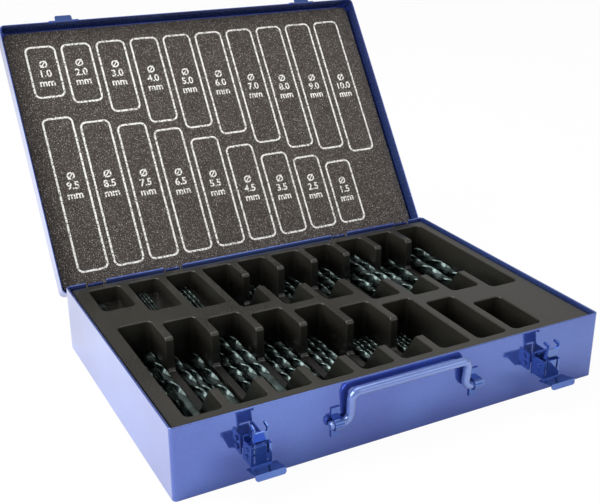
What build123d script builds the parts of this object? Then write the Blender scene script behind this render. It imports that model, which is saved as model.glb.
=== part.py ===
from build123d import *
import os
from math import cos, radians, sin, sqrt, tan
from random import Random

# Pressed-steel drill case with a hinged lid, a moulded insert with nineteen drill pockets, two
# toggle latches and a swinging carrying handle. Millimetres. +X runs to the right seen from the
# front, the front wall faces -Y and +Z is up. The origin is the centre of the bottom face.

os.makedirs("parts", exist_ok=True)

# Case body
case_width = 335.0
case_height = 52.0
sheet = 0.8               # steel sheet of the case, the lid and the knuckles
case_corner = 3.0
rim_hem = 4.0             # height of the folded hem along the rim
rim_round = 0.6

# Lid
lid_gap = 0.8             # between the lid's flange and the case wall
lid_overlap = 9.5         # how far the closed flange hangs below the rim
lid_round = 1.5
foam_thickness = 4.7
foam_rim_gap = 0.5        # closed foam face above the rim
foam_back_gap = 0.1
foam_side_gap = 2.4
foam_corner = 6.0
lid_open = 125.4          # degrees from closed to its open stop

# Hinges: two pins, each through two case knuckles and two lid knuckles
hinge_inset = 56.5        # hinge's middle from the case's side
knuckle_inner = 1.6
knuckle_wall = sheet
pin_radius = 1.52
case_tab_offset = 32.5    # case knuckles, from the hinge's middle
case_tab_width = 12.0
lid_tab_offset = 16.6
lid_tab_width = 13.5
tab_side_gap = 2.25
tab_drop = 2.2            # top of the case's hinge tab below the rim
tab_notch_depth = 12.5
pin_overhang = 1.0

# Moulded insert
deck_drop = 2.5           # deck below the rim
insert_wall = 1.5
insert_gap = 1.6
insert_skirt = 12.0
insert_corner = 3.0
floor_rise = 4.2          # the deepest floors stand this high on their cups' walls
standing_reach = 6.0      # cups that end this near the case's bottom sheet stand on it
divider = 6.3             # between neighbouring pockets
left_land = 14.7          # from the case's left face to the first pocket
right_land = 11.6
front_land = 12.0
back_land = 11.3
middle_land = 9.7         # least land between the two rows of pockets
pocket_corner = 4.0
back_row_play = 7.0       # pocket length beyond its drills
front_row_play = 10.0
deck_round = 1.4          # rolled outer edge of the insert
mouth_round = 0.9         # edge of the deck round the pockets
notch_round = 3.0
notch_depth = 26.0
notch_slope = 35.0        # degrees from vertical
back_notch_inset = 28.0
back_notch_lead = 29.0
front_notch_inset = 25.0
front_notch_lead = 24.0
notch_from_size = 3.5

# Drills: size: (overall length, pieces, pocket depth)
full_depth = case_height - deck_drop - sheet - insert_wall - floor_rise
mid_depth = 40.0
low_depth = 34.0
shallow_depth = 13.5
back_row = {
    1.0: (34, 10, shallow_depth),
    2.0: (49, 10, shallow_depth),
    3.0: (61, 10, 18.0),
    4.0: (75, 10, low_depth),
    5.0: (86, 10, low_depth),
    6.0: (93, 10, mid_depth),
    7.0: (109, 10, full_depth),
    8.0: (117, 10, full_depth),
    9.0: (125, 5, full_depth),
    10.0: (133, 5, full_depth),
}
front_row = {
    9.5: (125, 5, full_depth),
    8.5: (117, 5, full_depth),
    7.5: (109, 10, full_depth),
    6.5: (101, 10, full_depth),
    5.5: (93, 10, mid_depth),
    4.5: (80, 10, low_depth),
    3.5: (70, 10, low_depth),
    2.5: (57, 10, low_depth),
    1.5: (40, 10, low_depth),
}
drill_gap = 0.2
drill_wall_gap = 0.35
drill_floor_gap = 0.3
drill_end_gap = 0.5
bunch_below = 4.0         # thinner drills lie close together
bunch_spread = 1.1
bunch_row = 5
bunch_lean = 0.6          # share of the free width that a heap is pushed to the left
drill_sides = 8
tip_half_angle = 59.0
tip_flat = 0.12           # chisel edge as a share of the radius

# Lid catches, each a riveted angle in front of a latch
latch_inset = 53.2        # latch's middle from the case's side
catch_plate_width = 26.0
catch_plate_height = 7.0
catch_tab_width = 14.5
catch_tab_reach = 5.0
catch_sheet = 0.8
rivet_radius = 1.5
rivet_head_radius = 2.4
rivet_head = 0.9
catch_rivet_offset = 10.3
catch_rivet_rise = 4.2

# Toggle latches; "out" is the distance in front of the case wall
latch_sheet = 0.9
lever_pivot_out = 8.0
lever_pivot_z = 27.8
claw_pivot_out = 7.0
claw_pivot_z = 22.3
latch_pin_radius = 1.2
latch_fit = 0.06          # radial running clearance of the latch pins
lever_half_width = 7.2
lever_top = (13.6, 32.5)
lever_heel = (13.1, 18.6)
lever_back = 1.5
lever_shoulder = (2.4, 32.0)
lever_waist_z = 24.0
lever_round = 1.2
tab_fold = (26.3, 21.8)
tab_tip = (27.3, 17.6)
tab_half_width = 10.3
tab_corner = 2.0
ear_half_width = 6.1
ear_round = 2.6
ear_sheet = 0.8
base_low = 16.6
base_high = 33.4
base_rivet_low = 19.4
base_rivet_high = 31.0
claw_half_width = 5.0
claw_round = 2.3
claw_outer = 9.6
claw_waist_z = 30.0
claw_horn_round = 1.6
claw_inner = 7.3
claw_top = 46.5
claw_nose_out = 3.2
claw_nose_z = 43.9
claw_web_low = 35.5
claw_web_high = 43.0
claw_lean = 12.0          # degrees the free claw leans out of the lid's way
slot_low = 20.0
slot_clearance = 0.3
pin_head_radius = 1.9
pin_head = 0.9
pin_head_gap = 0.1

# Carrying handle
handle_rod = 3.0          # radius
handle_pivot_out = 3.3
handle_pivot_z = 24.8
handle_reach = 21.6       # pivot axis to the grip's centre line
handle_arm = 46.0         # from the middle to each arm
handle_end = 61.0         # from the middle to each rod end
handle_bend = 5.5
handle_end_chamfer = 0.6
handle_lean = 6.0         # degrees away from the wall as it stands
strap_inner_x = 52.0
strap_outer_x = 58.5
strap_sheet = 1.2
strap_fit = 0.08
strap_half_height = 10.9

# Derived places
column_lengths = [back[0] + front[0] for back, front in zip(back_row.values(), front_row.values())]
row_play = back_row_play + front_row_play
case_depth = front_land + back_land + middle_land + row_play + max(column_lengths)
column_pitch = (case_width - left_land - right_land + divider) / len(back_row)
pocket_width = column_pitch - divider
hinge_centre = case_width / 2 - hinge_inset
latch_centre = case_width / 2 - latch_inset
front_face = -case_depth / 2
back_face = case_depth / 2
knuckle_outer = knuckle_inner + knuckle_wall
hinge_y = back_face + lid_gap + knuckle_outer
hinge_z = case_height - lid_overlap
deck_z = case_height - deck_drop
foam_face_z = case_height + foam_rim_gap
lid_top_z = foam_face_z + foam_thickness + foam_back_gap + sheet
lid_width = case_width + 2 * (lid_gap + sheet)
lid_depth = case_depth + 2 * (lid_gap + sheet)
lid_corner = case_corner + lid_gap + sheet
lid_front_out = lid_gap + sheet
hinge_axis = Axis((0, hinge_y, hinge_z), (1, 0, 0))


def block(x0, x1, y0, y1, z0, z1):
    """Rectangular block between two corners."""
    return Pos((x0 + x1) / 2, (y0 + y1) / 2, (z0 + z1) / 2) * Box(x1 - x0, y1 - y0, z1 - z0)


def rounded_block(x0, x1, y0, y1, z0, z1, radius):
    """Block with rounded upright corners."""
    outline = Pos((x0 + x1) / 2, (y0 + y1) / 2, z0) * RectangleRounded(x1 - x0, y1 - y0, radius)
    return extrude(outline, z1 - z0)


def centred_block(width, depth, z0, z1, radius):
    return rounded_block(-width / 2, width / 2, -depth / 2, depth / 2, z0, z1, radius)


def side_profile(outline, x0, x1):
    """Extrude a sketch drawn in (y, z) from x0 to x1."""
    return extrude(Plane.YZ.offset(x0) * outline, x1 - x0, dir=(1, 0, 0))


def front_profile(outline, x0, x1):
    """Extrude a sketch drawn in (out, z), with out measured from the front wall."""
    return side_profile(Pos(front_face, 0) * mirror(outline, Plane.YZ), x0, x1)


def strip(path, thickness):
    """Sketch of bent sheet: the path and its mitred copy, thickness to the path's left."""
    points = [Vector(*p) for p in path]
    turned = []
    for index, point in enumerate(points):
        before = points[max(index - 1, 0)]
        after = points[min(index + 1, len(points) - 1)]
        first = (point - before).normalized() if index else (after - point).normalized()
        second = (after - point).normalized() if index < len(points) - 1 else first
        normal = Vector(-first.Y - second.Y, first.X + second.X).normalized()
        share = normal.dot(Vector(-first.Y, first.X))
        turned.append(point + normal * (thickness / share))
    corners = [(p.X, p.Y) for p in points + turned[::-1]]
    return Polygon(*corners, align=None)


def x_rod(radius, x0, x1, y, z):
    return Pos(x0, y, z) * extrude(Plane.YZ * Circle(radius), x1 - x0)


def front_rod(radius, x0, x1, out, z):
    return x_rod(radius, x0, x1, front_face - out, z)


def y_rod(radius, x, z, y0, y1):
    """Cylinder along Y from y0 to y1."""
    return Pos(x, y0, z) * extrude(Plane.XZ * Circle(radius), y0 - y1)


def knuckle(x0, x1, leg_top):
    """Rolled knuckle round the hinge pin, with its leg up to leg_top."""
    ring = Circle(knuckle_outer)
    leg = Pos(-knuckle_outer + knuckle_wall / 2, (leg_top - hinge_z) / 2)
    ring += leg * Rectangle(knuckle_wall, leg_top - hinge_z)
    ring -= Circle(knuckle_inner)
    return side_profile(Pos(hinge_y, hinge_z) * ring, x0, x1)


def hinge_tabs(offset, width):
    """X ranges of the two tabs of each hinge."""
    ranges = []
    for hinge in (-hinge_centre, hinge_centre):
        for side in (-1, 1):
            middle = hinge + side * offset
            ranges.append((middle - width / 2, middle + width / 2))
    return ranges


def case_shell():
    body = centred_block(case_width, case_depth, 0, case_height, case_corner)
    inner_width = case_width - 2 * sheet
    inner_depth = case_depth - 2 * sheet
    hem_z = case_height - rim_hem
    body -= centred_block(inner_width, inner_depth, sheet, hem_z, case_corner - sheet)
    body -= centred_block(inner_width - 2 * sheet, inner_depth - 2 * sheet,
                          hem_z, case_height, case_corner - 2 * sheet)
    rim = body.edges().filter_by_position(Axis.Z, case_height, case_height)
    body = fillet(rim, rim_round)
    tab_top = case_height - tab_drop
    for x0, x1 in hinge_tabs(case_tab_offset, case_tab_width):
        body -= block(x0 - tab_side_gap, x1 + tab_side_gap, back_face - 3 * sheet,
                      back_face + sheet, case_height - tab_notch_depth, case_height + sheet)
        body += block(x0, x1, back_face - sheet, back_face,
                      case_height - tab_notch_depth, tab_top)
        body += block(x0, x1, back_face - sheet, back_face + lid_gap + sheet,
                      tab_top - sheet, tab_top)
        body += knuckle(x0, x1, tab_top)
    return body


def to_open(shape):
    """Turn a piece drawn on the closed lid to the open stop."""
    return shape.rotate(hinge_axis, -lid_open)


def lid_shell():
    body = centred_block(lid_width, lid_depth, hinge_z, lid_top_z, lid_corner)
    body = fillet(body.edges().filter_by_position(Axis.Z, lid_top_z, lid_top_z), lid_round)
    body -= centred_block(lid_width - 2 * sheet, lid_depth - 2 * sheet,
                          hinge_z, lid_top_z - sheet, lid_corner - sheet)
    cut_top = case_height - tab_drop + tab_side_gap
    for x0, x1 in hinge_tabs(case_tab_offset, case_tab_width):
        body -= block(x0 - tab_side_gap, x1 + tab_side_gap, back_face + lid_gap / 2,
                      back_face + lid_gap + 2 * sheet, hinge_z - sheet, cut_top)
    for x0, x1 in hinge_tabs(lid_tab_offset, lid_tab_width):
        body += knuckle(x0, x1, hinge_z + knuckle_outer)
    for centre in (-latch_centre, latch_centre):
        for side in (-1, 1):
            body -= y_rod(rivet_radius, centre + side * catch_rivet_offset,
                          hinge_z + catch_rivet_rise, front_face + sheet,
                          front_face - 3 * sheet)
    return to_open(body)


def lid_foam():
    width = case_width + 2 * lid_gap - 2 * foam_side_gap
    depth = case_depth + 2 * lid_gap - 2 * foam_side_gap
    pad = centred_block(width, depth, foam_face_z, foam_face_z + foam_thickness, foam_corner)
    return to_open(pad)


def hinge_pin(centre):
    reach = case_tab_offset + case_tab_width / 2 + pin_overhang
    return x_rod(pin_radius, centre - reach, centre + reach, hinge_y, hinge_z)


def lid_catch(centre):
    """Angle riveted to the lid's front flange; its foot is what the claw pulls on."""
    plate_z = hinge_z + catch_plate_height
    out = lid_front_out
    plate = block(centre - catch_plate_width / 2, centre + catch_plate_width / 2,
                  front_face - out - catch_sheet, front_face - out, hinge_z, plate_z)
    upright = plate.edges().filter_by(Axis.Y)
    plate = fillet(upright, catch_sheet)
    foot = block(centre - catch_tab_width / 2, centre + catch_tab_width / 2,
                 front_face - out - catch_tab_reach, front_face - out,
                 hinge_z, hinge_z + catch_sheet)
    foot_corners = foot.edges().filter_by(Axis.Z).sort_by(Axis.Y)[:2]
    catch = plate + fillet(foot_corners, 2 * catch_sheet)
    for side in (-1, 1):
        catch -= y_rod(rivet_radius, centre + side * catch_rivet_offset,
                       hinge_z + catch_rivet_rise, front_face, front_face - 4 * catch_sheet)
    return to_open(catch)


def catch_rivets():
    """Four rivets through the lid's flange and the catch plates."""
    inside = front_face - lid_gap
    outside = front_face - lid_front_out - catch_sheet
    rivets = []
    for centre in (-latch_centre, latch_centre):
        for side in (-1, 1):
            x = centre + side * catch_rivet_offset
            z = hinge_z + catch_rivet_rise
            rivet = y_rod(rivet_radius, x, z, inside, outside)
            rivet += y_rod(rivet_head_radius, x, z, inside + rivet_head / 2, inside)
            rivet += y_rod(rivet_head_radius, x, z, outside, outside - rivet_head)
            rivets.append(to_open(rivet))
    return Compound(rivets)


def pocket_places():
    """Each pocket as (size, x0, x1, y0, y1, floor, row)."""
    places = []
    x_start = -case_width / 2 + left_land
    for row, table in (("back", back_row), ("front", front_row)):
        for column, (size, (length, count, depth)) in enumerate(table.items()):
            x0 = x_start + column * column_pitch
            if row == "back":
                y1 = back_face - back_land
                y0 = y1 - length - back_row_play
            else:
                y0 = front_face + front_land
                y1 = y0 + length + front_row_play
            places.append((size, x0, x0 + pocket_width, y0, y1, deck_z - depth, row))
    return places


def notch_reach(left, right):
    """Front and back of the finger notch between two pockets, at the deck."""
    if left[6] == "back":
        shorter_front = max(left[3], right[3])
        return shorter_front + back_notch_lead, left[4] - back_notch_inset
    shorter_back = min(left[4], right[4])
    return left[3] + front_notch_lead, shorter_back - front_notch_inset


def notch_outline(left, right, grow):
    """Finger notch in the divider between two pockets, as a sketch in (y, z)."""
    front, back = notch_reach(left, right)
    low = deck_z - notch_depth - grow
    slope_run = (notch_depth + grow) * tan(radians(notch_slope))
    front -= grow / cos(radians(notch_slope))
    back += grow
    outline = Polygon((front, deck_z), (front + slope_run, low), (back, low), (back, deck_z),
                      align=None)
    return fillet(outline.vertices().group_by(Axis.Y)[0], notch_round + grow)


def notch_cut(left, right):
    """The notch with its upper corners rolled into the deck."""
    front, back = notch_reach(left, right)
    above = Pos((front + back) / 2, deck_z + notch_round)
    cut = notch_outline(left, right, 0)
    cut += above * Rectangle(back - front + 4 * notch_round, 2 * notch_round)
    rolled = [v for v in cut.vertices()
              if abs(v.Y - deck_z) < sheet and front - sheet < v.X < back + sheet]
    return fillet(rolled, notch_round)


def insert_tray():
    half_width = case_width / 2 - 2 * sheet - insert_gap
    half_depth = case_depth / 2 - 2 * sheet - insert_gap
    under = deck_z - insert_wall
    skirt_z = deck_z - insert_skirt
    tray = centred_block(2 * half_width, 2 * half_depth, skirt_z, deck_z, insert_corner)
    tray = fillet(tray.edges().filter_by_position(Axis.Z, deck_z, deck_z), deck_round)
    tray -= centred_block(2 * (half_width - insert_wall), 2 * (half_depth - insert_wall),
                          skirt_z, under, insert_corner - insert_wall)
    places = pocket_places()
    cups = []
    hollows = []
    for size, x0, x1, y0, y1, floor, row in places:
        under_floor = floor - insert_wall
        stands = under_floor - sheet < standing_reach
        cups.append(rounded_block(x0 - insert_wall, x1 + insert_wall, y0 - insert_wall,
                                  y1 + insert_wall, sheet if stands else under_floor, deck_z,
                                  pocket_corner + insert_wall))
        if stands:
            hollows.append(rounded_block(x0, x1, y0, y1, sheet, under_floor, pocket_corner))
        hollows.append(rounded_block(x0, x1, y0, y1, floor, deck_z + insert_wall, pocket_corner))
    for left, right in zip(places, places[1:]):
        same_row = left[6] == right[6]
        if same_row and min(left[0], right[0]) >= notch_from_size:
            cups.append(side_profile(notch_outline(left, right, insert_wall),
                                     left[2] - insert_wall / 2, right[1] + insert_wall / 2))
            hollows.append(side_profile(notch_cut(left, right),
                                        left[2] - insert_wall, right[1] + insert_wall))
    tray += cups
    tray -= hollows
    mouths = [edge for edge in tray.edges().filter_by_position(Axis.Z, deck_z, deck_z)
              if max(abs(edge.center().X) - half_width, abs(edge.center().Y) - half_depth)
              < -2 * deck_round]
    return fillet(mouths, mouth_round)


def heap_places(size, count):
    """Centres (x, z) of a pocket's drills over its floor, in staggered rows."""
    least = size + drill_gap
    clear_width = pocket_width - 2 * drill_wall_gap
    per_row = min(count, int((clear_width + drill_gap) / least))
    loosest = sqrt(3)
    if size < bunch_below:
        per_row = min(per_row, bunch_row)
        loosest = bunch_spread
    spread = min((clear_width - size) / (per_row - 1), loosest * least)
    shift = bunch_lean * (clear_width - size - (per_row - 1) * spread) / 2
    rise = max(sqrt(max(least ** 2 - (spread / 2) ** 2, 0)), least / 2)
    places = []
    row = 0
    while len(places) < count:
        in_row = per_row - row % 2
        for index in range(min(in_row, count - len(places))):
            x = (index - (in_row - 1) / 2) * spread - shift
            places.append((x, drill_floor_gap + size / 2 + row * rise))
        row += 1
    return places


def drill_solid(size, length):
    """One drill along +Y from its shank's end at the origin."""
    radius = size / 2
    tip = radius / tan(radians(tip_half_angle))
    stations = ((0, radius), (length - tip, radius), (length, radius * tip_flat))
    sections = [Plane.XZ.offset(-y) * RegularPolygon(r, drill_sides) for y, r in stations]
    return loft(sections, ruled=True)


def drill_heap(place, length, count):
    """All drills of one size, lying in their pocket with the tips to the back."""
    size, x0, x1, y0, y1, floor, row = place
    chance = Random(int(size * 10))
    end_room = (y1 - y0 - length) / 2
    corner_reach = pocket_corner - drill_wall_gap
    corner_room = pocket_corner - sqrt(pocket_corner ** 2 - corner_reach ** 2) + drill_gap
    drill = drill_solid(size, length)
    drills = []
    for x, z in heap_places(size, count):
        by_wall = abs(x) + size / 2 > pocket_width / 2 - pocket_corner
        play = end_room - (corner_room if by_wall else drill_end_gap)
        y = (y0 + y1 - length) / 2 + chance.uniform(-play, play)
        drills.append(Pos((x0 + x1) / 2 + x, y, floor + z) * drill)
    return Compound(drills)


def latch_base(centre):
    """Plate on the wall with two ears that carry the lever."""
    plate = block(centre - ear_half_width, centre + ear_half_width,
                  front_face - latch_sheet, front_face, base_low, base_high)
    ear = Rectangle(lever_pivot_out, 2 * ear_round, align=(Align.MIN, Align.CENTER))
    ear = Pos(0, lever_pivot_z) * ear + Pos(lever_pivot_out, lever_pivot_z) * Circle(ear_round)
    ear -= Pos(lever_pivot_out, lever_pivot_z) * Circle(latch_pin_radius + latch_fit)
    for side in (-1, 1):
        outer = centre + side * ear_half_width
        inner = outer - side * ear_sheet
        plate += front_profile(ear, min(outer, inner), max(outer, inner))
    for z in (base_rivet_low, base_rivet_high):
        plate -= y_rod(rivet_radius, centre, z, front_face, front_face - 2 * latch_sheet)
    return plate


def latch_lever(centre):
    """Channel lever with cheeks, a slotted face and a flared thumb tab with a turned-down lip."""
    half = lever_half_width
    face = front_profile(strip((lever_top, lever_heel, tab_fold), -latch_sheet),
                         centre - half, centre + half)
    tab = front_profile(strip((lever_heel, tab_fold, tab_tip), -latch_sheet),
                        centre - tab_half_width, centre + tab_half_width)
    lip_corners = tab.faces().sort_by(Axis.Z)[0].edges().filter_by(Axis.X, reverse=True)
    tab = fillet(lip_corners, tab_corner)
    body = face + tab
    cheek = Polygon(lever_top, lever_heel, (lever_back, lever_heel[1]),
                    (lever_back, lever_waist_z), lever_shoulder, align=None)
    cheek = fillet(cheek.vertices().group_by(Axis.X)[0], lever_round)
    cheek -= Pos(lever_pivot_out, lever_pivot_z) * Circle(latch_pin_radius + latch_fit)
    cheek -= Pos(claw_pivot_out, claw_pivot_z) * Circle(latch_pin_radius + latch_fit)
    slot_outer = claw_half_width + slot_clearance
    slot_inner = claw_half_width - latch_sheet - slot_clearance
    for side in (-1, 1):
        outer = centre + side * half
        inner = outer - side * latch_sheet
        body += front_profile(cheek, min(outer, inner), max(outer, inner))
        slot = sorted((centre + side * slot_outer, centre + side * slot_inner))
        body -= block(slot[0], slot[1], front_face - lever_top[0] - latch_sheet,
                      front_face - lever_heel[0] + 2 * latch_sheet,
                      slot_low, lever_top[1] + latch_sheet)
    return body


def latch_claw(centre):
    """Hook of two cheeks and a web, hung from the lever and leaning out."""
    cheek = Polygon((claw_outer, claw_pivot_z), (claw_outer, claw_top),
                    (claw_nose_out, claw_top), (claw_nose_out, claw_nose_z),
                    (claw_inner, claw_nose_z), (claw_inner, claw_waist_z),
                    (claw_pivot_out - claw_round, claw_pivot_z), align=None)
    cheek = fillet(cheek.vertices().group_by(Axis.Y)[-1], claw_horn_round)
    cheek += Pos(claw_pivot_out, claw_pivot_z) * Circle(claw_round)
    cheek -= Pos(claw_pivot_out, claw_pivot_z) * Circle(latch_pin_radius + latch_fit)
    half = claw_half_width
    hook = block(centre - half, centre + half, front_face - claw_outer,
                 front_face - claw_outer + latch_sheet, claw_web_low, claw_web_high)
    for side in (-1, 1):
        outer = centre + side * half
        inner = outer - side * latch_sheet
        hook += front_profile(cheek, min(outer, inner), max(outer, inner))
    pivot = Axis((0, front_face - claw_pivot_out, claw_pivot_z), (1, 0, 0))
    return hook.rotate(pivot, claw_lean)


def claw_pin(centre):
    """Headed pin that carries the claw between the lever's cheeks."""
    half = lever_half_width + pin_head_gap
    pin = front_rod(latch_pin_radius, centre - half, centre + half, claw_pivot_out, claw_pivot_z)
    for x in (centre - half - pin_head, centre + half):
        pin += front_rod(pin_head_radius, x, x + pin_head, claw_pivot_out, claw_pivot_z)
    return pin


def lever_rivets(centre):
    """Two short rivets that join the lever's cheeks to the base's ears."""
    rivets = []
    for side in (-1, 1):
        inner = centre + side * (ear_half_width - latch_sheet)
        outer = centre + side * (lever_half_width + pin_head_gap)
        head = outer + side * pin_head
        rivet = front_rod(latch_pin_radius, min(inner, outer), max(inner, outer),
                          lever_pivot_out, lever_pivot_z)
        rivet += front_rod(pin_head_radius, min(outer, head), max(outer, head),
                           lever_pivot_out, lever_pivot_z)
        rivets.append(rivet)
    return Compound(rivets)


def base_rivets(centre):
    """Two rivets that hold the latch base on the wall."""
    rivets = []
    for z in (base_rivet_low, base_rivet_high):
        rivet = y_rod(rivet_radius, centre, z, front_face, front_face - latch_sheet)
        rivet += y_rod(rivet_head_radius, centre, z,
                       front_face - latch_sheet, front_face - latch_sheet - rivet_head)
        rivets.append(rivet)
    return Compound(rivets)


def handle_rod_solid():
    """Bent round rod, drawn straight up and then leaned away from the wall."""
    y = front_face - handle_pivot_out
    low = handle_pivot_z
    high = handle_pivot_z + handle_reach
    corners = [(-handle_end, low), (-handle_arm, low), (-handle_arm, high),
               (handle_arm, high), (handle_arm, low), (handle_end, low)]
    path = FilletPolyline(*[(x, y, z) for x, z in corners], radius=handle_bend)
    rod = sweep(Plane(path @ 0, z_dir=path % 0) * Circle(handle_rod), path=path)
    ends = rod.faces().filter_by(GeomType.PLANE).edges()
    rod = chamfer(ends, handle_end_chamfer)
    return rod.rotate(Axis((0, y, low), (1, 0, 0)), handle_lean)


def handle_strap(side):
    """Strap pressed over the rod's end and welded to the wall above and below it."""
    inner = handle_rod + strap_fit
    outer = inner + strap_sheet
    profile = Pos(handle_pivot_out, 0) * Circle(outer)
    profile += Rectangle(handle_pivot_out, 2 * outer, align=(Align.MIN, Align.CENTER))
    profile += Rectangle(strap_sheet, 2 * strap_half_height, align=(Align.MIN, Align.CENTER))
    profile -= Pos(handle_pivot_out, 0) * Circle(inner)
    profile -= Rectangle(handle_pivot_out, 2 * inner, align=(Align.MIN, Align.CENTER))
    profile &= Pos(0, 0) * Rectangle(2 * outer, 2 * strap_half_height,
                                     align=(Align.MIN, Align.CENTER))
    x0, x1 = sorted((side * strap_inner_x, side * strap_outer_x))
    return front_profile(Pos(0, handle_pivot_z) * profile, x0, x1)


def save(name, shape):
    export_step(shape, f"parts/{name}.step")


save("case_shell", case_shell())
save("insert_tray", insert_tray())
save("lid_shell", lid_shell())
save("lid_foam", lid_foam())
save("catch_rivets", catch_rivets())
save("handle_grip", handle_rod_solid())
for side_name, side in (("left", -1), ("right", 1)):
    middle = side * latch_centre
    save(f"hinge_pin_{side_name}", hinge_pin(side * hinge_centre))
    save(f"lid_catch_{side_name}", lid_catch(middle))
    save(f"latch_base_{side_name}", latch_base(middle))
    save(f"base_rivets_{side_name}", base_rivets(middle))
    save(f"latch_lever_{side_name}", latch_lever(middle))
    save(f"lever_rivets_{side_name}", lever_rivets(middle))
    save(f"latch_claw_{side_name}", latch_claw(middle))
    save(f"claw_pin_{side_name}", claw_pin(middle))
    save(f"handle_strap_{side_name}", handle_strap(side))
tables = {**back_row, **front_row}
for place in pocket_places():
    size = place[0]
    length, count, depth = tables[size]
    name = f"drills_{int(size * 10):03d}"
    save(name, drill_heap(place, length, count))
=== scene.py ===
from math import cos, pi, radians, sin, sqrt

import bmesh
import bpy
from mathutils import Matrix, Vector, noise


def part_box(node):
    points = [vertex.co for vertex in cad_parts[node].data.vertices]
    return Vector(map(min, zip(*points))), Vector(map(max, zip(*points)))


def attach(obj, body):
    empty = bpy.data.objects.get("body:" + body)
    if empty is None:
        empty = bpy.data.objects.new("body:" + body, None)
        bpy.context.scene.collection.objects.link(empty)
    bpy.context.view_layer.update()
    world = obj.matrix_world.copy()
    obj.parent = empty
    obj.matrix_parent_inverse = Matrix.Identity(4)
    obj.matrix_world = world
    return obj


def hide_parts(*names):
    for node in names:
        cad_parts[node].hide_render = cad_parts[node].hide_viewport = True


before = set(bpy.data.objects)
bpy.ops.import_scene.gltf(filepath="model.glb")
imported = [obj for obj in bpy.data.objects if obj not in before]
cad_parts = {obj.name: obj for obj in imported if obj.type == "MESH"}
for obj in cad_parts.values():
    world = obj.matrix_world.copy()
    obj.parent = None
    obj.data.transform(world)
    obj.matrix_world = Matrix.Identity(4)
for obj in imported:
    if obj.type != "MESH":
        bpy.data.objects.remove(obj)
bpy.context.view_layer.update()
print("frame loaded:", len(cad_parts), "nodes")

mm = 0.001


class Wire:
    # a socket that takes part in Python arithmetic; every operation adds a Math node
    def __init__(self, sheet, socket):
        self.sheet = sheet
        self.socket = socket

    def calc(self, operation, *values, clamp=False):
        inputs = dict(enumerate(values))
        return self.sheet.node("ShaderNodeMath", inputs, operation=operation, use_clamp=clamp).out()

    def __add__(self, other):
        return self.calc("ADD", self, other)

    def __radd__(self, other):
        return self.calc("ADD", other, self)

    def __sub__(self, other):
        return self.calc("SUBTRACT", self, other)

    def __rsub__(self, other):
        return self.calc("SUBTRACT", other, self)

    def __mul__(self, other):
        return self.calc("MULTIPLY", self, other)

    def __rmul__(self, other):
        return self.calc("MULTIPLY", other, self)

    def __truediv__(self, other):
        return self.calc("DIVIDE", self, other)

    def sin(self):
        return self.calc("SINE", self)

    def cos(self):
        return self.calc("COSINE", self)

    def tan(self):
        return self.calc("TANGENT", self)

    def floored(self):
        return self.calc("FLOOR", self)

    def modulo(self, other):
        return self.calc("FLOORED_MODULO", self, other)

    def most(self, other):
        return self.calc("MAXIMUM", self, other)

    def over(self, limit):
        # 1 above the limit, else 0
        return self.calc("GREATER_THAN", self, limit)

    def under(self, limit):
        # 1 below the limit, else 0
        return self.calc("LESS_THAN", self, limit)

    def clipped(self):
        # held between 0 and 1
        return self.calc("ADD", self, 0.0, clamp=True)

    def ramp(self, low, high):
        # 0 at low, 1 at high, smooth between
        inputs = {"Value": self, "From Min": low, "From Max": high}
        return self.sheet.node("ShaderNodeMapRange", inputs, interpolation_type="SMOOTHSTEP").out("Result")


class Made:
    # a placed node; out() gives one of its outputs as a Wire
    def __init__(self, sheet, node):
        self.sheet, self.node = sheet, node

    def out(self, name=0):
        return Wire(self.sheet, self.node.outputs[name])


class Sheet:
    # one node tree that is being written
    def __init__(self, tree):
        self.tree = tree
        tree.nodes.clear()

    def node(self, kind, inputs=None, **settings):
        made = self.tree.nodes.new(kind)
        for name, value in settings.items():
            setattr(made, name, value)
        for name, value in (inputs or {}).items():
            socket = made.inputs[name]
            if isinstance(value, Wire):
                self.tree.links.new(value.socket, socket)
            elif isinstance(value, tuple) and socket.type == "RGBA":
                socket.default_value = (*value, 1.0)
            else:
                socket.default_value = value
        return Made(self, made)


class Finish(Sheet):
    # a material; patterns read the object's own coordinates in metres
    def __init__(self, name):
        self.material = bpy.data.materials.new(name)
        self.material.use_nodes = True
        super().__init__(self.material.node_tree)
        self.place = self.node("ShaderNodeTexCoord").out("Object")

    def height(self):
        return self.node("ShaderNodeSeparateXYZ", {0: self.place}).out("Z")

    def stretched(self, scale, turn=(0, 0, 0)):
        inputs = {"Vector": self.place, "Scale": scale, "Rotation": turn}
        return self.node("ShaderNodeMapping", inputs).out("Vector")

    def noise(self, scale, detail, rough=0.5, place=None):
        inputs = {"Vector": place or self.place, "Scale": scale, "Detail": detail, "Roughness": rough}
        return self.node("ShaderNodeTexNoise", inputs).out("Fac")

    def cells(self, scale):
        inputs = {"Vector": self.place, "Scale": scale}
        return self.node("ShaderNodeTexVoronoi", inputs, feature="F1").out("Distance")

    def tint(self, factor, low, high):
        # colour between low and high
        inputs = {"Factor": factor, 6: low, 7: high}
        return self.node("ShaderNodeMix", inputs, data_type="RGBA").out(2)

    def bump(self, height, distance, strength, under=None):
        inputs = {"Height": height, "Distance": distance, "Strength": strength}
        if under is not None:
            inputs["Normal"] = under
        return self.node("ShaderNodeBump", inputs).out("Normal")

    def rounded(self, radius):
        # catches the light along crisp edges
        return self.node("ShaderNodeBevel", {"Radius": radius}, samples=4).out("Normal")

    def surface(self, **inputs):
        named = {key.replace("_", " "): value for key, value in inputs.items()}
        self.close(self.node("ShaderNodeBsdfPrincipled", named).out("BSDF"))
        return self.material

    def close(self, shader):
        self.node("ShaderNodeOutputMaterial", {"Surface": shader})


enamelLook = {
    "deep": (0.028, 0.036, 0.27), "clear": (0.105, 0.190, 0.56), "metallic": 0.72, "roughness": 0.085,
    "coat": 1.0, "peel": 0.000012, "edge": 0.35 * mm,
}

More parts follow.
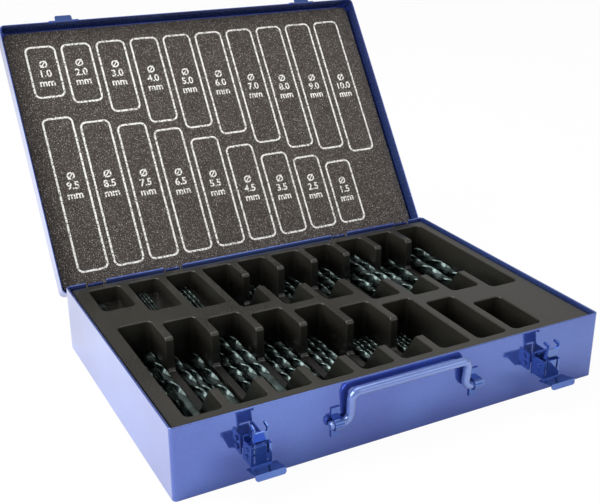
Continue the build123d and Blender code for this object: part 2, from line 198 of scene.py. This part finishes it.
fittingLook = {
    "deep": (0.022, 0.045, 0.26), "clear": (0.11, 0.22, 0.58), "metallic": 0.85, "roughness": 0.11,
    "coat": 0.7, "peel": 0.000008, "edge": 0.3 * mm,
}

rodLook = {
    "deep": (0.10, 0.16, 0.46), "clear": (0.22, 0.32, 0.68), "metallic": 0.55, "roughness": 0.16,
    "coat": 0.8, "peel": 0.000008, "edge": 0.0,
}


# what all blue enamels share: scales in cells per metre, ranges of the noise that show
enamelGrain = {
    "cloudScale": 14.0, "cloudRange": (0.3, 0.7), "fineScale": 420.0, "fineRange": (0.35, 0.65),
    "scuffScale": 60.0, "scuffRange": (0.58, 0.75), "scuffStretch": (1.0, 1.0, 0.2),
    "peelScale": 900.0, "peelStrength": 0.35, "coatRoughness": 0.04,
}


def blueEnamel(name, look):
    # gloss translucent blue over bright steel: faint mottling, orange peel, rubbed edges
    f = Finish(name)
    grain = enamelGrain
    cloud = f.noise(grain["cloudScale"], 2.0).ramp(*grain["cloudRange"])
    fine = f.noise(grain["fineScale"], 2.0).ramp(*grain["fineRange"])
    shade = cloud * 0.35 + fine * 0.08 + 0.4
    colour = f.tint(shade.clipped(), look["deep"], look["clear"])
    peel = f.noise(grain["peelScale"], 2.0)
    scuffs = f.noise(grain["scuffScale"], 4.0, 0.7, f.stretched(grain["scuffStretch"]))
    rough = look["roughness"] + scuffs.ramp(*grain["scuffRange"]) * 0.08 + fine * 0.03
    under = f.rounded(look["edge"]) if look["edge"] else None
    return f.surface(Base_Color=colour, Metallic=look["metallic"], Roughness=rough,
                     Coat_Weight=look["coat"], Coat_Roughness=grain["coatRoughness"],
                     Normal=f.bump(peel, look["peel"], grain["peelStrength"], under))


plasticLook = {
    "dark": (0.005, 0.0045, 0.004), "light": (0.024, 0.0225, 0.0175), "dust": (0.13, 0.125, 0.11),
    "roughness": 0.21, "specular": 0.42, "coat": 0.18, "coatRoughness": 0.1, "edge": 0.8 * mm,
    "flowScale": 22.0, "flowRange": (0.3, 0.75), "flowStretch": (1.0, 0.45, 1.0),
    "pocketShadeTop": 0.030, "deckLitFrom": 0.0493,          # heights between which painted pocket shade gives way to the paler, painted-lit deck
    "dustScale": 900.0, "dustRange": (0.16, 0.04), "dustPatch": 70.0, "dustPatchRange": (0.55, 0.7),
    "grainScale": 1400.0, "grain": 0.000018, "grainStrength": 0.4,
}


def insertPlastic():
    # vacuum-formed black sheet with a satin skin, flow marks and a little drill dust, painted darker low in
    # the pockets as painted shade
    f = Finish("insertPlastic")
    look = plasticLook
    flow = f.noise(look["flowScale"], 3.0, 0.55, f.stretched(look["flowStretch"])).ramp(*look["flowRange"])
    # painted shade and light: the sheet is coloured darker down in the pockets and paler on the top deck
    paintedLitShare = f.height().ramp(look["pocketShadeTop"], look["deckLitFrom"])
    colour = f.tint((flow * 0.4 + paintedLitShare * 0.75 - 0.1).clipped(), look["dark"], look["light"])
    patch = f.noise(look["dustPatch"], 3.0).ramp(*look["dustPatchRange"])
    specks = f.cells(look["dustScale"]).ramp(*look["dustRange"]) * patch
    colour = f.tint((specks * 0.5).clipped(), colour, look["dust"])
    grain = f.noise(look["grainScale"], 2.0)
    rough = look["roughness"] + flow * 0.12 + grain * 0.08
    return f.surface(Base_Color=colour, Roughness=rough, Specular_IOR_Level=look["specular"],
                     Coat_Weight=look["coat"], Coat_Roughness=look["coatRoughness"],
                     Normal=f.bump(grain, look["grain"], look["grainStrength"], f.rounded(look["edge"])))


foamLook = {
    "poreShade": (0.010, 0.008, 0.007), "skin": (0.082, 0.070, 0.062), "shade": (0.03, 0.025, 0.02),
    "speck": (0.52, 0.49, 0.45), "ink": (0.93, 0.92, 0.88), "roughness": 0.95, "specular": 0.15,
    "cell": 1000.0, "body": 550.0, "skinRange": (0.35, 1.05), "depth": 0.0005, "bumpStrength": 0.7,
    "shadeScale": 55.0, "shadeRange": (0.3, 0.7),
    "speckScale": 1300.0, "speckRange": (0.61, 0.70), "speckTurn": (0.4, 0.2, 0.9),
    "inkScale": 700.0, "inkRange": (0.37, 0.50), "inkInPores": 0.15,
}


def foamSkin(name, inked):
    # open-cell foam with painted shade in its pores; the printed ink sits on the cell tops and mostly misses
    # the pores
    f = Finish(name)
    look = foamLook
    cell = f.cells(look["cell"])
    body = f.noise(look["body"], 3.0, 0.65)
    raised = (cell * 1.2 + body * 0.7).ramp(*look["skinRange"])
    shade = f.noise(look["shadeScale"], 3.0).ramp(*look["shadeRange"])
    # painted shade: the pore hollows are coloured darker than the raised cell tops
    colour = f.tint(raised, look["poreShade"], look["skin"])
    colour = f.tint(shade * 0.22, colour, look["shade"])
    turned = f.stretched((1.0, 1.0, 1.0), look["speckTurn"])
    speck = f.noise(look["speckScale"], 1.0, place=turned).ramp(*look["speckRange"])
    colour = f.tint(speck * 0.9, colour, look["speck"])
    if inked:
        tops = f.noise(look["inkScale"], 2.0, 0.6).ramp(*look["inkRange"])
        colour = f.tint((tops + look["inkInPores"]).clipped(), colour, look["ink"])
    return f.surface(Base_Color=colour, Roughness=look["roughness"], Specular_IOR_Level=look["specular"],
                     Normal=f.bump(raised, look["depth"], look["bumpStrength"]))


steelLook = {
    "dark": (0.045, 0.065, 0.062), "bright": (0.17, 0.22, 0.21), "roughness": 0.24,
    "ringScale": 1800.0, "ringStretch": (0.12, 1.0, 0.12), "groove": 0.000012, "grooveStrength": 0.4,
    "patchScale": 120.0, "patchRange": (0.35, 0.7),
}


def drillSteel():
    # black-oxide steel: fine rings round the body, paler worn patches
    f = Finish("drillSteel")
    look = steelLook
    rings = f.noise(look["ringScale"], 2.0, place=f.stretched(look["ringStretch"]))
    patches = f.noise(look["patchScale"], 3.0).ramp(*look["patchRange"])
    colour = f.tint((rings * 0.5 + patches * 0.45).clipped(), look["dark"], look["bright"])
    return f.surface(Base_Color=colour, Metallic=1.0, Roughness=look["roughness"] + patches * 0.12,
                     Normal=f.bump(rings, look["groove"], look["grooveStrength"]))


pinLook = {
    "dark": (0.10, 0.13, 0.34), "bright": (0.30, 0.34, 0.55), "metallic": 0.9, "roughness": 0.24,
    "ringScale": 2200.0, "ringRange": (0.3, 0.7), "ringStretch": (1.0, 0.1, 0.1),
    "groove": 0.00001, "grooveStrength": 0.5,
}


def pinSteel():
    # turned pin under a thin blue film
    f = Finish("pinSteel")
    look = pinLook
    rings = f.noise(look["ringScale"], 2.0, place=f.stretched(look["ringStretch"]))
    colour = f.tint(rings.ramp(*look["ringRange"]), look["dark"], look["bright"])
    return f.surface(Base_Color=colour, Metallic=look["metallic"], Roughness=look["roughness"] + rings * 0.08,
                     Normal=f.bump(rings, look["groove"], look["grooveStrength"]))


floorLook = {
    "low": (0.86, 0.86, 0.87), "high": (0.9, 0.9, 0.9), "grainScale": 30.0, "roughness": 0.8,
    "glow": (1.0, 1.0, 1.0), "glowShare": 0.95,
}


def floorPaper():
    # white paper that the camera sees almost evenly white, so that only strong shadows show
    f = Finish("floorPaper")
    look = floorLook
    grain = f.noise(look["grainScale"], 3.0)
    colour = f.tint(grain, look["low"], look["high"])
    paper = f.node("ShaderNodeBsdfPrincipled", {"Base Color": colour, "Roughness": look["roughness"]})
    glow = f.node("ShaderNodeEmission", {"Color": look["glow"], "Strength": 1.0})
    seen = f.node("ShaderNodeLightPath").out("Is Camera Ray")
    parts = {0: seen * look["glowShare"], 1: paper.out("BSDF"), 2: glow.out("Emission")}
    f.close(f.node("ShaderNodeMixShader", parts).out())
    return f.material


caseEnamel = blueEnamel("caseEnamel", enamelLook)
fittingEnamel = blueEnamel("fittingEnamel", fittingLook)
rodEnamel = blueEnamel("rodEnamel", rodLook)
trayPlastic = insertPlastic()
foamPlain = foamSkin("foamPlain", False)
foamInked = foamSkin("foamInked", True)
twistSteel = drillSteel()
hingeSteel = pinSteel()
print("finishes written")


def wholeMesh(node):
    # a merged copy of a CAD node's loose triangles
    bm = bmesh.new()
    bm.from_mesh(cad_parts[node].data)
    bmesh.ops.remove_doubles(bm, verts=bm.verts, dist=0.00001)
    return bm


def asPiece(name, bm, material, body, smooth):
    bmesh.ops.recalc_face_normals(bm, faces=bm.faces)
    mesh = bpy.data.meshes.new(name)
    bm.to_mesh(mesh)
    bm.free()
    return meshPiece(name, mesh, material, body, smooth)


def meshPiece(name, mesh, material, body, smooth=None):
    # smooth is the greatest angle in degrees that is still shaded smooth
    mesh.materials.clear()
    mesh.materials.append(material)
    if smooth is not None:
        mesh.shade_smooth()
        mesh.set_sharp_from_angle(angle=radians(smooth))
    piece = bpy.data.objects.new(name, mesh)
    bpy.context.scene.collection.objects.link(piece)
    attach(piece, body)
    return piece


def dress(node, material):
    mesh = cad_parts[node].data
    mesh.materials.clear()
    mesh.materials.append(material)


lid = {"angle": 125.4}
hingeLow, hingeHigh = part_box("hinge_pin_left")
hingeMiddle = (hingeLow + hingeHigh) / 2
hingeMiddle.x = 0.0
opening = Matrix.Translation(hingeMiddle) @ Matrix.Rotation(radians(-lid["angle"]), 4, "X")
opening = opening @ Matrix.Translation(-hingeMiddle)
closing = opening.inverted()


def closedBox(node):
    # a node's box with the lid closed
    points = [closing @ v.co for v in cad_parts[node].data.vertices]
    low = Vector([min(p[i] for p in points) for i in range(3)])
    high = Vector([max(p[i] for p in points) for i in range(3)])
    return low, high


foam = {
    "corner": 6.0 * mm, "edgeRound": 0.9 * mm, "step": 5.0 * mm, "smooth": 50,
    "edgeStops": (0.0, 0.15, 0.4, 1.0), "cornerStops": (0.35, 0.65, 1.0),
    "waver": 0.18 * mm, "waverScale": 40, "waverPlane": 0.3,
}


def lineStops(half):
    # grid lines from one side to the other, close together by the cut edge
    corner = foam["corner"]
    near = [foam["edgeRound"] * share for share in foam["edgeStops"]]
    near += [corner * share for share in foam["cornerStops"]]
    left = [-half + n for n in near]
    straight = 2 * half - 2 * corner
    count = max(2, round(straight / foam["step"]))
    middle = [-half + corner + straight * i / count for i in range(1, count)]
    return left + middle + [-v for v in reversed(left)]


def foamPad():
    low, high = closedBox("lid_foam")
    halfX, halfY = (high.x - low.x) / 2, (high.y - low.y) / 2
    middleY = (high.y + low.y) / 2
    corner, edge = foam["corner"], foam["edgeRound"]
    xs, ys = lineStops(halfX), lineStops(halfY)
    lastX, lastY = len(xs) - 1, len(ys) - 1
    bm = bmesh.new()

    def rounded(x, y):
        # squeezes the square corner cells into quarter rounds
        cx, cy = max(abs(x) - (halfX - corner), 0), max(abs(y) - (halfY - corner), 0)
        u, v = cx / corner, cy / corner
        su, sv = u * sqrt(1 - v * v / 2), v * sqrt(1 - u * u / 2)
        signX, signY = (1 if x > 0 else -1), (1 if y > 0 else -1)
        return (x + signX * (su * corner - cx), y + signY * (sv * corner - cy))

    def face(x, y):
        # the seen side: rounded over at the cut edge, a little wavy further in
        inside = min(halfX - abs(x), halfY - abs(y))
        drop = edge * (1 - sqrt(max(0, 1 - (1 - min(inside / edge, 1)) ** 2)))
        px, py = rounded(x, y)
        where = Vector((px * foam["waverScale"], py * foam["waverScale"], foam["waverPlane"]))
        wave = noise.noise(where) * foam["waver"] * min(inside / (3 * edge), 1)
        return (px, middleY + py, low.z + drop + max(wave, 0))

    front = {}
    for i, x in enumerate(xs):
        for j, y in enumerate(ys):
            front[i, j] = bm.verts.new(opening @ Vector(face(x, y)))
    back = {}
    for i, x in enumerate(xs):
        for j, y in enumerate(ys):
            if i in (0, lastX) or j in (0, lastY):
                px, py = rounded(x, y)
                back[i, j] = bm.verts.new(opening @ Vector((px, middleY + py, high.z)))
    for i in range(lastX):
        for j in range(lastY):
            bm.faces.new((front[i, j], front[i + 1, j], front[i + 1, j + 1], front[i, j + 1]))
    ring = [(i, 0) for i in range(lastX + 1)]
    ring += [(lastX, j) for j in range(1, lastY + 1)]
    ring += [(i, lastY) for i in range(lastX - 1, -1, -1)]
    ring += [(0, j) for j in range(lastY - 1, 0, -1)]
    for a, b in zip(ring, ring[1:] + ring[:1]):
        bm.faces.new((front[a], front[b], back[b], back[a]))
    bm.faces.new([back[at] for at in ring])
    pad = asPiece("foam_pad", bm, foamPlain, "lid", foam["smooth"])
    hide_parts("lid_foam")
    return low.z


# the rows give each drill size its frame's length and its lettering's middle, both in mm
printing = {
    "first": -138.1 * mm, "pitch": 30.65 * mm, "width": 24.6 * mm, "line": 1.7 * mm, "corner": 4.6 * mm,
    "segments": 6, "textSize": 8.8 * mm, "lineStep": 8.4 * mm, "bolder": 0.22 * mm, "curveSteps": 3,
    "lift": 0.10 * mm, "frontEnd": -98.6 * mm, "backEnd": 99.4 * mm,
    "topRow": {
        1.0: (45.5, -74.1), 2.0: (53.0, -72.6), 3.0: (65.0, -68.3), 4.0: (78.9, -60.0), 5.0: (88.3, -54.2),
        6.0: (98.0, -49.0), 7.0: (110.7, -42.0), 8.0: (119.8, -38.0), 9.0: (125.6, -35.0),
        10.0: (132.2, -32.1),
    },
    "bottomRow": {
        9.5: (133.0, 26.4), 8.5: (126.3, 29.0), 7.5: (119.8, 33.0), 6.5: (111.0, 37.0), 5.5: (98.6, 43.3),
        4.5: (87.0, 53.0), 3.5: (75.0, 57.0), 2.5: (67.4, 61.0), 1.5: (58.4, 68.5),
    },
}


def roundedRing(halfX, halfY, corner):
    segments = printing["segments"]
    points = []
    for quarter in range(4):
        cx = (halfX - corner) * (1, -1, -1, 1)[quarter]
        cy = (halfY - corner) * (1, 1, -1, -1)[quarter]
        for s in range(segments + 1):
            a = (quarter + s / segments) * pi / 2
            points.append((cx + corner * cos(a), cy + corner * sin(a)))
    return points


def foamPrint(faceZ):
    # a thin layer of ink: one frame round each pocket's place and its three lines of lettering
    bm = bmesh.new()
    z = faceZ - printing["lift"]
    half = printing["line"] / 2
    labels = []
    for row in ("topRow", "bottomRow"):
        for column, (size, (length, labelY)) in enumerate(printing[row].items()):
            x = printing["first"] + column * printing["pitch"]
            if row == "topRow":
                y = printing["frontEnd"] + length * mm / 2
            else:
                y = printing["backEnd"] - length * mm / 2
            hx, hy = printing["width"] / 2, length * mm / 2
            rings = []
            for grow in (half, -half):
                ring = roundedRing(hx + grow, hy + grow, printing["corner"] + grow)
                rings.append([bm.verts.new((x + px, y + py, z)) for px, py in ring])
            outer, inner = rings
            for i in range(len(outer)):
                k = (i + 1) % len(outer)
                bm.faces.new((outer[i], outer[k], inner[k], inner[i]))
            labels.append((x, labelY * mm, size))
    for x, y, size in labels:
        for line, text in enumerate(("Ø", f"{size:.1f}", "mm")):
            letters = bpy.data.curves.new("letters", "FONT")
            letters.body = text
            letters.size = printing["textSize"]
            letters.align_x, letters.align_y = "CENTER", "CENTER"
            letters.resolution_u = printing["curveSteps"]
            letters.offset = printing["bolder"]
            shown = bpy.data.objects.new("letters", letters)
            bpy.context.scene.collection.objects.link(shown)
            bpy.context.view_layer.update()
            flat = bpy.data.meshes.new_from_object(shown.evaluated_get(bpy.context.evaluated_depsgraph_get()))
            bpy.data.objects.remove(shown)
            bpy.data.curves.remove(letters)
            # the lid's inside is read from below the closed lid, so y runs the other way
            flat.transform(Matrix.Translation((x, y + (line - 1) * printing["lineStep"], z))
                           @ Matrix.Diagonal((1, -1, -1, 1)))
            bm.from_mesh(flat)
            bpy.data.meshes.remove(flat)
    bmesh.ops.transform(bm, matrix=opening, verts=bm.verts)
    downward = (opening.to_3x3() @ Vector((0, 0, -1))).normalized()
    for face in bm.faces:
        face.normal_update()
        if face.normal.dot(downward) < 0:
            face.normal_flip()
    mesh = bpy.data.meshes.new("foam_print")
    bm.to_mesh(mesh)
    bm.free()
    meshPiece("foam_print", mesh, foamInked, "lid")


faceZ = foamPad()
foamPrint(faceZ)
print("foam pad and print made")


drills = {
    "sizes": (1.0, 2.0, 3.0, 4.0, 5.0, 6.0, 7.0, 8.0, 9.0, 10.0, 9.5, 8.5, 7.5, 6.5, 5.5, 4.5, 3.5, 2.5, 1.5),
    "fluteLength": {1.0: 12, 1.5: 18, 2.0: 24, 2.5: 30, 3.0: 33, 3.5: 39, 4.0: 43, 4.5: 47, 5.0: 52, 5.5: 57,
                    6.0: 57, 6.5: 63, 7.0: 69, 7.5: 69, 8.0: 75, 8.5: 75, 9.0: 81, 9.5: 81, 10.0: 87},
    "lead": 6.3,          # length of one flute turn in diameters
    "around": 28, "perTurn": 15, "extraRows": 10, "web": 0.20, "tipAngle": 118.0, "seed": 7, "smooth": 38,
    "bevel": 0.16,        # at the shank's end, in radii
    "shankRows": 2, "tipRows": 4, "tipTaper": 0.97, "runOut": 0.2 * mm, "grownAfter": 1.1,
    "webSpread": 1.05, "depthShare": 0.93, "relief": 0.035, "joined": 0.004 * mm,
    # shares of half a turn: the flute's steep and gentle sides, then the land behind its margin
    "steepSide": (0.03, 0.20), "gentleSide": (0.34, 0.66),
    "landStart": (0.74, 0.80), "landEnd": (0.955, 0.985),
}


def drillTree():
    # rows of points along the axis, rings round it: the radius follows the flutes, tip and shank
    tree = bpy.data.node_groups.new("twistDrills", "GeometryNodeTree")
    for name, kind in (("Seats", "Geometry"), ("Diameter", "Float"), ("Length", "Float"),
                       ("Flute Length", "Float"), ("Lead", "Float"), ("Web", "Float"), ("Tip Angle", "Float"),
                       ("Around", "Int"), ("Rows", "Int"), ("Seed", "Int"), ("Steel", "Material")):
        tree.interface.new_socket(name, in_out="INPUT", socket_type="NodeSocket" + kind)
    tree.interface.new_socket("Drills", in_out="OUTPUT", socket_type="NodeSocketGeometry")
    g = Sheet(tree)
    given = g.node("NodeGroupInput")
    diameter, length, rows = given.out("Diameter"), given.out("Length"), given.out("Rows")
    perRow = given.out("Around") + 1
    radius = diameter / 2
    size = {"Size X": 1.0, "Size Y": 1.0, "Vertices X": rows, "Vertices Y": perRow}
    grid = g.node("GeometryNodeMeshGrid", size).out("Mesh")
    index = g.node("GeometryNodeInputIndex").out()
    row = (index / perRow).floored()
    column = index - row * perRow
    angle = column / given.out("Around") * (2 * pi)
    tip = radius / (given.out("Tip Angle") / 2).tan()
    bevel = radius * drills["bevel"]
    # the first rows close the shank's end, the last ones the tip
    tipRows, shankRows = drills["tipRows"], drills["shankRows"]
    share = ((row - shankRows) / (rows - (shankRows + tipRows + 1))).clipped()
    late = (row - (rows - (tipRows + 1))).most(0.0) / tipRows
    body = length - tip - bevel
    along = (bevel + share * body + late * tip) * row.over(0.5) - bevel * row.under(1.5)
    reach = 1 - late * drills["tipTaper"]
    reach = reach * (1 - drills["bevel"] * row.under(1.5)) * row.over(0.5)
    cut = along - (length - given.out("Flute Length"))
    turn = cut / (diameter * given.out("Lead")) * (2 * pi)
    runOut = cut.ramp(-drills["runOut"], 0.0)
    grown = (cut / (diameter * drills["grownAfter"])).ramp(0.0, 1.0)
    # both flutes share one shape
    phase = (angle * 2).modulo(2 * pi) / (2 * pi)
    dip = phase.ramp(*drills["steepSide"]) * (1 - phase.ramp(*drills["gentleSide"]))
    relief = phase.ramp(*drills["landStart"]) * (1 - phase.ramp(*drills["landEnd"])) * drills["relief"]
    depth = (1 - given.out("Web") * drills["webSpread"]) * drills["depthShare"]
    section = 1 - dip * depth * grown - relief * grown
    r = radius * reach * section
    turned = angle + turn * runOut
    place = g.node("ShaderNodeCombineXYZ", {"X": r * turned.cos(), "Y": along, "Z": r * turned.sin()}).out()
    shaped = g.node("GeometryNodeSetPosition", {"Geometry": grid, "Position": place}).out()
    closed = g.node("GeometryNodeMergeByDistance", {"Geometry": shaped, "Distance": drills["joined"]}).out()
    # each drill is rolled by its own random angle
    roll = {2: 0.0, 3: 2 * pi, "Seed": given.out("Seed")}
    spin = g.node("FunctionNodeRandomValue", roll, data_type="FLOAT").out(1)
    rolled = g.node("ShaderNodeCombineXYZ", {"X": 0.0, "Y": spin, "Z": 0.0}).out()
    seated = {"Points": given.out("Seats"), "Instance": closed, "Rotation": rolled}
    placed = g.node("GeometryNodeInstanceOnPoints", seated).out()
    real = g.node("GeometryNodeRealizeInstances", {"Geometry": placed}).out()
    painted = g.node("GeometryNodeSetMaterial", {"Geometry": real, "Material": given.out("Steel")}).out()
    g.node("NodeGroupOutput", {"Drills": painted})
    return tree


def drillSeats(node):
    # each CAD drill as (shank end centre, length)
    bm = wholeMesh(node)
    seats, seen = [], set()
    for start in bm.verts:
        if start in seen:
            continue
        seen.add(start)
        island, edge = [start], [start]
        while edge:
            for link in edge.pop().link_edges:
                for v in link.verts:
                    if v not in seen:
                        seen.add(v)
                        island.append(v)
                        edge.append(v)
        low = Vector([min(v.co[i] for v in island) for i in range(3)])
        high = Vector([max(v.co[i] for v in island) for i in range(3)])
        seats.append((Vector(((low.x + high.x) / 2, low.y, (low.z + high.z) / 2)), high.y - low.y))
    bm.free()
    return seats


def fillPocket(size, tree):
    # one pocket's drills, on the seats that the CAD rods give
    tenths = round(size * 10)
    node = f"drills_{tenths:03d}"
    seats = drillSeats(node)
    length = seats[0][1]
    holder = bpy.data.meshes.new(node + "_seats")
    holder.from_pydata([tuple(place) for place, reach in seats], [], [])
    maker = bpy.data.objects.new("maker", holder)
    bpy.context.scene.collection.objects.link(maker)
    modifier = maker.modifiers.new("drills", "NODES")
    modifier.node_group = tree
    turns = length / (size * mm * drills["lead"])
    wanted = {
        "Diameter": size * mm, "Length": length, "Flute Length": drills["fluteLength"][size] * mm,
        "Lead": drills["lead"], "Web": drills["web"], "Tip Angle": radians(drills["tipAngle"]),
        "Around": drills["around"], "Rows": int(turns * drills["perTurn"]) + drills["extraRows"],
        "Seed": drills["seed"] + tenths, "Steel": twistSteel,
    }
    for item in tree.interface.items_tree:
        if item.in_out == "INPUT" and item.name in wanted:
            modifier[item.identifier] = wanted[item.name]
    maker.update_tag()
    bpy.context.view_layer.update()
    mesh = bpy.data.meshes.new_from_object(maker.evaluated_get(bpy.context.evaluated_depsgraph_get()))
    bpy.data.objects.remove(maker)
    bm = bmesh.new()
    bm.from_mesh(mesh)
    bpy.data.meshes.remove(mesh)
    piece = asPiece(f"twist_drills_{tenths:03d}", bm, twistSteel, "case", drills["smooth"])
    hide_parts(node)
    return len(piece.data.polygons)


drillRule = drillTree()
faceCount = sum(fillPocket(size, drillRule) for size in drills["sizes"])
print("drills made:", faceCount, "faces")


for node in ("case_shell", "lid_shell"):
    dress(node, caseEnamel)
dress("insert_tray", trayPlastic)
for side in ("left", "right"):
    for node in ("lid_catch", "latch_base", "base_rivets", "latch_lever", "lever_rivets", "latch_claw",
                 "claw_pin", "handle_strap"):
        dress(f"{node}_{side}", fittingEnamel)
    dress(f"hinge_pin_{side}", hingeSteel)
dress("catch_rivets", fittingEnamel)
dress("handle_grip", rodEnamel)
print("CAD nodes painted")


# each lamp: power in watts, place, size
studio = {
    "key": (29.0, (-1.3, 0.1, 0.9), (1.6, 1.2)),
    "top": (11.0, (0.1, 0.35, 1.7), (1.6, 1.2)),
    "fill": (4.0, (0.9, -1.4, 0.9), (1.4, 1.0)),
    "aim": (0.0, 0.0, 0.05), "world": 0.48, "floorCells": 8, "floorHalf": 4.0,
}


def softLight(name, power, place, size):
    lamp = bpy.data.lights.new(name, "AREA")
    lamp.energy = power
    lamp.shape = "RECTANGLE"
    lamp.size, lamp.size_y = size
    shown = bpy.data.objects.new(name, lamp)
    shown.location = place
    shown.rotation_mode = "QUATERNION"
    shown.rotation_quaternion = (Vector(studio["aim"]) - Vector(place)).to_track_quat("-Z", "Y")
    bpy.context.scene.collection.objects.link(shown)


for name in ("key", "top", "fill"):
    softLight(name, *studio[name])

world = bpy.data.worlds.new("studio")
world.use_nodes = True
w = Sheet(world.node_tree)
# pure white to the camera, dimmer as light on the part
seen = w.node("ShaderNodeLightPath").out("Is Camera Ray")
strength = seen * (1.0 - studio["world"]) + studio["world"]
back = w.node("ShaderNodeBackground", {"Color": (1.0, 1.0, 1.0), "Strength": strength})
w.node("ShaderNodeOutputWorld", {"Surface": back.out()})
bpy.context.scene.world = world

bm = bmesh.new()
cells = studio["floorCells"]
bmesh.ops.create_grid(bm, x_segments=cells, y_segments=cells, size=studio["floorHalf"])
floorMesh = bpy.data.meshes.new("floor")
bm.to_mesh(floorMesh)
bm.free()
floorMesh.materials.append(floorPaper())
floor = bpy.data.objects.new("floor", floorMesh)
bpy.context.scene.collection.objects.link(floor)

bpy.context.scene.view_settings.view_transform = "Standard"
print("studio lit")


shot = {
    "lens": 58.0, "azimuth": -27.685, "elevation": 22.483, "roll": 0.057,
    "place": (-0.32456, -0.57942, 0.36557), "sensor": 36.0, "clip": (0.01, 20.0),
}
view = bpy.data.cameras.new("photo")
view.lens = shot["lens"]
view.sensor_width = shot["sensor"]
view.sensor_fit = "HORIZONTAL"
view.clip_start, view.clip_end = shot["clip"]
eye = bpy.data.objects.new("photo", view)
a, e = radians(shot["azimuth"]), radians(shot["elevation"])
backward = Vector((sin(a) * cos(e), -cos(a) * cos(e), sin(e)))
right = Vector((cos(a), sin(a), 0.0))
upward = backward.cross(right)
basis = Matrix((right, upward, backward)).transposed().to_4x4()
roll = Matrix.Rotation(radians(-shot["roll"]), 4, "Z")
eye.matrix_world = Matrix.Translation(shot["place"]) @ basis @ roll
bpy.context.scene.collection.objects.link(eye)
bpy.context.scene.camera = eye
